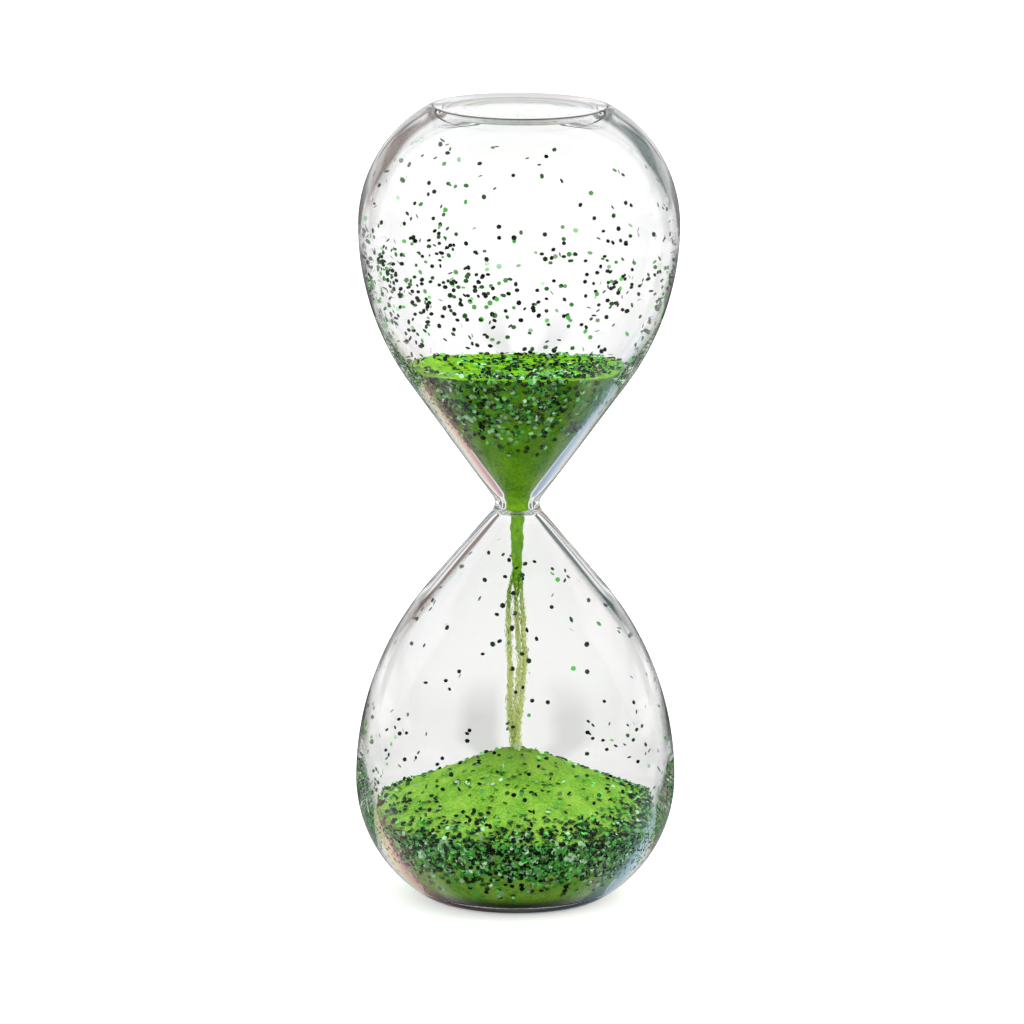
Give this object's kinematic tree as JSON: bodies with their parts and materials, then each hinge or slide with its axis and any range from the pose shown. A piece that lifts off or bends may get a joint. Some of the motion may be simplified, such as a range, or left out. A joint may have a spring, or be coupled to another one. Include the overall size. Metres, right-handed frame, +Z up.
{
  "type": "hourglass",
  "caption": "Frameless clear glass hourglass with two round bulbs, flat closed ends and a narrow neck, filled with running green sand and loose metallic glitter.",
  "frame": {"origin": "centre of the flat base face, on the surface that the hourglass stands on", "axes": "+Z up along the bulbs' common axis, from the base disc to the top disc; the glass is the same all round, so +X and +Y are any two square directions"},
  "size_m": [0.08, 0.08, 0.2],
  "materials": {
    "glass": "polished",
    "adhesive": "gloss",
    "sand": "matte",
    "glitter_layer": "satin",
    "glitter_flake": "gloss"
  },
  "bodies": {
    "root": {"base_end_disc": "glass", "lower_bulb": "glass", "neck": "glass", "upper_bulb": "glass", "top_end_disc": "glass", "base_bond_ring": "adhesive", "top_bond_ring": "adhesive", "sand_upper": "sand", "sand_stream": "sand", "sand_heap": "sand", "glitter_layer_upper": "glitter_layer", "glitter_layer_lower": "glitter_layer", "glitter_flake_upper_01": "glitter_flake", "glitter_flake_upper_02": "glitter_flake", "glitter_flake_upper_03": "glitter_flake", "glitter_flake_upper_04": "glitter_flake", "glitter_flake_upper_05": "glitter_flake", "glitter_flake_upper_06": "glitter_flake", "glitter_flake_upper_07": "glitter_flake", "glitter_flake_upper_08": "glitter_flake", "glitter_flake_upper_09": "glitter_flake", "glitter_flake_upper_10": "glitter_flake", "glitter_flake_upper_11": "glitter_flake", "glitter_flake_upper_12": "glitter_flake", "glitter_flake_upper_13": "glitter_flake", "glitter_flake_upper_14": "glitter_flake", "glitter_flake_upper_15": "glitter_flake", "glitter_flake_upper_16": "glitter_flake", "glitter_flake_upper_17": "glitter_flake", "glitter_flake_upper_18": "glitter_flake", "glitter_flake_upper_19": "glitter_flake", "glitter_flake_upper_20": "glitter_flake", "glitter_flake_upper_21": "glitter_flake", "glitter_flake_upper_22": "glitter_flake", "glitter_flake_upper_23": "glitter_flake", "glitter_flake_upper_24": "glitter_flake", "glitter_flake_lower_01": "glitter_flake", "glitter_flake_lower_02": "glitter_flake", "glitter_flake_lower_03": "glitter_flake", "glitter_flake_lower_04": "glitter_flake", "glitter_flake_lower_05": "glitter_flake", "glitter_flake_lower_06": "glitter_flake", "glitter_flake_lower_07": "glitter_flake", "glitter_flake_lower_08": "glitter_flake", "glitter_flake_lower_09": "glitter_flake", "glitter_flake_lower_10": "glitter_flake", "glitter_flake_lower_11": "glitter_flake", "glitter_flake_lower_12": "glitter_flake"}
  },
  "joints": []
}
